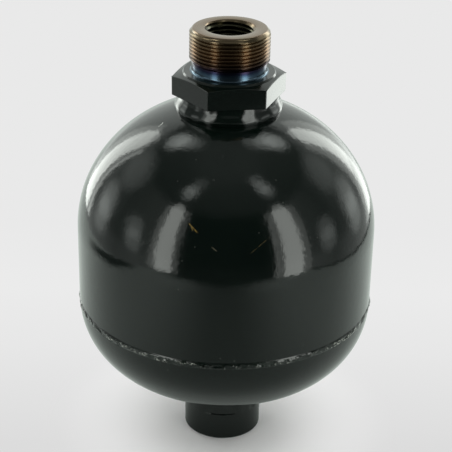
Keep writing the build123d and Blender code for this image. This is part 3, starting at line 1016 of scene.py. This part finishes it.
# the painted dark gap at its left: from, to, half width
LEFT_GAPS = (
    ((-0.265, 0.14, 0), (-0.375, -0.20, 0), 0.046),
    ((-0.270, 0.035, 0), (-0.340, -0.120, 0), 0.046),
)
# the painted dark of the gaps in the card's reflection
PAINTED_GAP_GREY = (0.09, 0.09, 0.09, 1.0)
MIDDLE_STRIP, SIDE_STRIPS = 0.02, 0.20  # distance aside where each look is full
# painted shade under the vessel in the reflection: radius where darkest, radius where it ends,
# darkest share
SHADE_FROM, SHADE_TO, SHADE_DARKEST = 0.014, 0.056, 0.26

# the card as the camera sees it: a glowing painted floor that takes over with distance from the
# vessel, with painted shade and light from back to front
PAINTED_FLOOR_FROM, PAINTED_FLOOR_FULL = 0.022, 0.080
PAINTED_FLOOR_BACK, PAINTED_FLOOR_FRONT = 0.20, -0.60


def camera():
    """Long lens, well above the port and tilted down to the vessel."""
    data = bpy.data.cameras.new("camera")
    data.lens = VIEW_LENS
    data.sensor_width = 36.0
    data.clip_start, data.clip_end = 0.01, 20.0
    obj = bpy.data.objects.new("camera", data)
    bpy.context.scene.collection.objects.link(obj)
    azimuth = Matrix.Rotation(VIEW_AZIMUTH, 4, "Z")
    turn = (
        azimuth
        @ Matrix.Rotation(math.pi / 2 - VIEW_PITCH, 4, "X")
        @ Matrix.Rotation(VIEW_ROLL, 4, "Z")
    )
    place = azimuth @ Vector((0, -VIEW_DISTANCE, VIEW_HEIGHT))
    obj.matrix_world = Matrix.Translation(place) @ turn
    bpy.context.scene.camera = obj


def wall_light(name, azimuth, distance, aside, width, low, high, radiance):
    """Upright soft light facing the vessel."""
    data = bpy.data.lights.new(name, "AREA")
    data.shape = "RECTANGLE"
    data.size, data.size_y = width, high - low
    data.energy = math.pi * width * (high - low) * radiance
    data.color = srgb(LAMP_COLOUR)[:3]
    obj = bpy.data.objects.new(name, data)
    bpy.context.scene.collection.objects.link(obj)
    angle = VIEW_AZIMUTH + math.radians(azimuth)
    outward = Vector((math.sin(angle), -math.cos(angle), 0))
    along = Vector((math.cos(angle), math.sin(angle), 0))
    spot = outward * distance + along * aside + Vector((0, 0, TABLE_Z + (low + high) / 2))
    facing = (-outward).to_track_quat("-Z", "Y").to_matrix().to_4x4()
    obj.matrix_world = Matrix.Translation(spot) @ facing
    obj.visible_camera = False


def corner_lights():
    """Each corner has a bright tube, its dimmer upper end and a reflector behind."""
    for corner, azimuth, distance, width, foot, top in CORNERS:
        wall_light(corner + " tube", azimuth, distance, 0, width, foot, top, TUBE_RADIANCE)
        wall_light(corner + " tube end", azimuth, distance, 0, width * TUBE_END_WIDTH,
                   top, top * TUBE_END_TOP, TUBE_END_RADIANCE)
        wall_light(corner + " reflector", azimuth, distance + REFLECTOR_BEHIND, 0,
                   width + REFLECTOR_MARGIN, LIGHT_FOOT, top, REFLECTOR_RADIANCE)
    for part in DIM_PARTS:
        wall_light(*part)


def overhead_light():
    """Soft top light for the matt surfaces; the enamel doesn't mirror it."""
    data = bpy.data.lights.new("overhead light", "AREA")
    data.shape = "SQUARE"
    data.size = OVERHEAD_SIZE
    data.energy = OVERHEAD_POWER
    obj = bpy.data.objects.new("overhead light", data)
    bpy.context.scene.collection.objects.link(obj)
    obj.location = (0, 0, TABLE_Z + OVERHEAD_HEIGHT)
    obj.visible_camera = False
    obj.visible_glossy = False


def studio_world():
    """Light tent round the table: pale back and sides, a dim ceiling, and a dark opening at
    the camera."""
    world = bpy.data.worlds.new("light tent")
    bpy.context.scene.world = world
    world.use_nodes = True
    tree = world.node_tree
    tree.nodes.clear()
    # the direction in the view's own axes: x to its right, y away from it
    turned = add(tree, "VectorRotate", {
        "Vector": (add(tree, "TexCoord"), "Generated"), "Angle": -VIEW_AZIMUTH,
    }, rotation_type="Z_AXIS")
    parts = add(tree, "SeparateXYZ", {0: turned})
    back_y = add(tree, "Math", {0: (parts, 1), 1: -1.0}, operation="MULTIPLY")
    around = add(tree, "Math", {0: (parts, 0), 1: back_y}, operation="ARCTAN2")
    share = add(tree, "MapRange", {0: around, 1: -math.pi, 2: math.pi})
    # walls all round, from the back by the left, the dark opening in front and the right
    walls = add(tree, "ValToRGB", {"Fac": share}, stops=[
        (0.00, 1.00), (0.07, 1.00), (0.10, 0.80), (0.14, 0.45), (0.20, 0.34), (0.25, 0.22),
        (0.31, 0.32), (0.37, 0.28), (0.405, 0.035), (0.595, 0.035), (0.63, 0.26), (0.69, 0.32),
        (0.75, 0.20), (0.80, 0.32), (0.86, 0.45), (0.90, 0.80), (0.93, 1.00), (1.00, 1.00),
    ])
    # brighter towards the table; and the ceiling over them
    level = add(tree, "MapRange", {0: (parts, 2), 1: -1.0, 2: 1.0})
    low_share = add(tree, "ValToRGB", {"Fac": level}, stops=[
        (0.31, 1.60), (0.43, 1.60), (0.47, 1.20), (0.50, 1.00),
    ])
    lit_walls = add(tree, "Mix", {
        0: 1.0, 6: walls, 7: low_share,
    }, data_type="RGBA", blend_type="MULTIPLY")
    ceiling = add(tree, "ValToRGB", {"Fac": level}, stops=[
        (0.85, 0.13), (0.95, 0.18), (0.99, 0.27),
    ])
    ceiling_share = add(tree, "ValToRGB", {"Fac": level}, stops=[(0.82, 0.0), (0.86, 1.0)])
    tent = add(tree, "Mix", {0: ceiling_share, 6: (lit_walls, 2), 7: ceiling}, data_type="RGBA")
    tent = (tent, 2)
    for azimuth, elevation, spread, radiance in GLOWS:
        azimuth, elevation = math.radians(azimuth), math.radians(elevation)
        flat = math.cos(elevation)
        towards = (flat * math.sin(azimuth), -flat * math.cos(azimuth), math.sin(elevation))
        facing = add(tree, "VectorMath", {0: turned, 1: towards}, operation="DOT_PRODUCT")
        edge = math.cos(math.radians(spread))
        glow = add(tree, "MapRange", {
            0: (facing, "Value"), 1: edge, 2: 1.0, 3: 0.0, 4: radiance,
        }, interpolation_type="SMOOTHSTEP")
        tent = add(tree, "VectorMath", {0: tent, 1: glow}, operation="ADD")
    cloth = add(tree, "VectorMath", {0: tent, 1: srgb(CLOTH_COLOUR)[:3]}, operation="MULTIPLY")
    lit = add(tree, "Background", {"Color": cloth, "Strength": 1.0})
    backdrop = add(tree, "Background", {"Color": srgb(BACKDROP_COLOUR), "Strength": 1.0})
    seen = add(tree, "LightPath")
    surface = add(tree, "MixShader", {0: (seen, "Is Camera Ray"), 1: lit, 2: backdrop})
    add(tree, "OutputWorld", {"Surface": surface})


def painted_card_reflection(tree, turned, across, radius, past_right):
    """Painted reflection of the card, an emission only the enamel's mirror rays see: painted dim
    towards the opening in front, brighter towards the corner lights, with a painted dark gap
    before either side wall and painted shade under the vessel."""
    # painted reflection grey from the card's front edge to its back
    along = add(tree, "MapRange", {0: (across, 1), 1: CARD_FRONT, 2: CARD_BACK})
    middle = add(tree, "ValToRGB", {"Fac": along}, stops=[
        (0.00, 0.03), (0.05, 0.08), (0.09, 0.19), (0.14, 0.22), (0.20, 0.25), (0.27, 0.30),
        (0.33, 0.34), (0.38, 0.36), (0.43, 0.53), (0.50, 0.78), (0.61, 0.78), (0.76, 0.64),
        (1.00, 0.70),
    ])
    sides = add(tree, "ValToRGB", {"Fac": along}, stops=[
        (0.00, 0.10), (0.05, 0.35), (0.09, 0.60), (0.15, 0.78), (0.22, 0.76), (0.29, 0.72),
        (0.35, 0.68), (0.41, 0.66), (0.47, 0.72), (0.54, 0.86), (0.61, 0.97), (0.76, 0.98),
        (1.00, 1.00),
    ])
    sideways = add(tree, "Math", {0: (across, 0)}, operation="ABSOLUTE")
    aside = add(tree, "MapRange", {
        0: sideways, 1: MIDDLE_STRIP, 2: SIDE_STRIPS,
    }, interpolation_type="SMOOTHSTEP")
    shown = add(tree, "Mix", {0: aside, 6: middle, 7: sides}, data_type="RGBA")
    for start, end, half_width in LEFT_GAPS:
        start, end = Vector(start), Vector(end)
        run = (end - start).normalized()
        middle_point = tuple((start + end) / 2)
        offset = add(tree, "VectorMath", {0: turned, 1: middle_point}, operation="SUBTRACT")
        long = within(tree, offset, run, (end - start).length / 2)
        wide = within(tree, offset, (-run.y, run.x, 0), half_width)
        gap = add(tree, "Math", {0: long, 1: wide}, operation="MULTIPLY")
        shown = add(tree, "Mix", {0: gap, 6: (shown, 2), 7: PAINTED_GAP_GREY}, data_type="RGBA")
    right_gap = add(tree, "MapRange", {0: past_right, 1: 0.0, 2: RIGHT_GAP_FADE})
    shown = add(tree, "Mix", {0: right_gap, 6: (shown, 2), 7: PAINTED_GAP_GREY}, data_type="RGBA")
    painted_shade = add(tree, "MapRange", {
        0: radius, 1: SHADE_FROM, 2: SHADE_TO, 3: SHADE_DARKEST, 4: 1.0,
    })
    tinted = add(tree, "Mix", {
        0: 1.0, 6: srgb(PAINTED_REFLECTION_TINT), 7: painted_shade,
    }, data_type="RGBA", blend_type="MULTIPLY")
    shown = add(tree, "Mix", {
        0: 1.0, 6: (shown, 2), 7: (tinted, 2),
    }, data_type="RGBA", blend_type="MULTIPLY")
    return shown, 2


def table():
    """White card on the tent's floor. The camera sees it lit and shaded only close to the
    vessel, and further out a glowing painted floor, pale with painted shade just in front of
    the vessel; the enamel sees a painted reflection of it, which ends at the tent's walls."""
    bpy.ops.object.select_all(action="DESELECT")
    bpy.ops.mesh.primitive_circle_add(
        vertices=96, radius=TABLE_RADIUS, fill_type="NGON", location=(0, 0, TABLE_Z),
    )
    top = bpy.context.object
    top.name = "table"
    bpy.ops.object.transform_apply(location=True)
    material, tree = new_material("matt white table card")
    place = (add(tree, "TexCoord"), "Object")
    radius, _ = from_axis(tree, place)
    turned = add(tree, "VectorRotate", {
        "Vector": place, "Angle": -VIEW_AZIMUTH,
    }, rotation_type="Z_AXIS")
    across = add(tree, "SeparateXYZ", {0: turned})
    from_right = add(tree, "VectorMath", {0: turned, 1: CARD_RIGHT}, operation="SUBTRACT")
    past_right = add(tree, "VectorMath", {
        0: from_right, 1: CARD_RIGHT_OUT,
    }, operation="DOT_PRODUCT")
    past_right = (past_right, "Value")
    seen = add(tree, "LightPath")
    by_camera, by_gloss = (seen, "Is Camera Ray"), (seen, "Is Glossy Ray")

    painted_reflection = painted_card_reflection(tree, turned, across, radius, past_right)
    # the painted reflection glows for the enamel's mirror rays, though it is no lamp
    painted_reflection_glow = add(tree, "Emission", {"Color": painted_reflection, "Strength": 1.0})
    card = add(tree, "BsdfDiffuse", {"Color": srgb(CARD_COLOUR)})
    # painted floor light and shade for the camera: pale at the back, darker just in front of the
    # vessel, lighter further forward
    nearer = add(tree, "MapRange", {0: (across, 1), 1: PAINTED_FLOOR_BACK, 2: PAINTED_FLOOR_FRONT})
    painted_floor_colour = add(tree, "ValToRGB", {"Fac": nearer}, stops=[
        (0.0, "#e9e9e9"), (0.10, "#ebebeb"), (0.175, "#e7e7e7"), (0.245, "#e0e0e0"),
        (0.28, "#dcdcdc"), (0.325, "#dcdcdc"), (0.42, "#eeeeee"), (0.55, "#eeeeee"),
        (1.0, "#e9e9e9"),
    ])
    painted_floor = add(tree, "Emission", {"Color": painted_floor_colour, "Strength": 1.0})
    away = add(tree, "MapRange", {
        0: radius, 1: PAINTED_FLOOR_FROM, 2: PAINTED_FLOOR_FULL,
    }, interpolation_type="SMOOTHSTEP")
    painted_floor_share = add(tree, "Math", {0: away, 1: by_camera}, operation="MULTIPLY")
    to_camera = add(tree, "MixShader", {0: painted_floor_share, 1: card, 2: painted_floor})
    shown = add(tree, "MixShader", {0: by_gloss, 1: to_camera, 2: painted_reflection_glow})

    # open beyond the tent's walls for the enamel, and from below for the camera
    front_out = add(tree, "Math", {0: (across, 1), 1: CARD_FRONT}, operation="LESS_THAN")
    left_out = add(tree, "Math", {0: (across, 0), 1: CARD_LEFT}, operation="LESS_THAN")
    right_out = add(tree, "Math", {0: past_right, 1: RIGHT_GAP_WIDTH}, operation="GREATER_THAN")
    side_out = add(tree, "Math", {0: left_out, 1: right_out}, operation="MAXIMUM")
    past = add(tree, "Math", {0: front_out, 1: side_out}, operation="MAXIMUM")
    beyond = add(tree, "Math", {0: past, 1: by_gloss}, operation="MULTIPLY")
    geometry = add(tree, "NewGeometry")
    below = add(tree, "Math", {
        0: (geometry, "Backfacing"), 1: by_camera,
    }, operation="MULTIPLY")
    opened = add(tree, "Math", {0: beyond, 1: below}, operation="MAXIMUM")
    clear = add(tree, "BsdfTransparent")
    ended = add(tree, "MixShader", {0: opened, 1: shown, 2: clear})
    add(tree, "OutputMaterial", {"Surface": ended})
    top.data.materials.append(material)


corner_lights()
overhead_light()
camera()
studio_world()
table()

scene = bpy.context.scene
scene.view_settings.view_transform = "Standard"

bpy.context.view_layer.update()
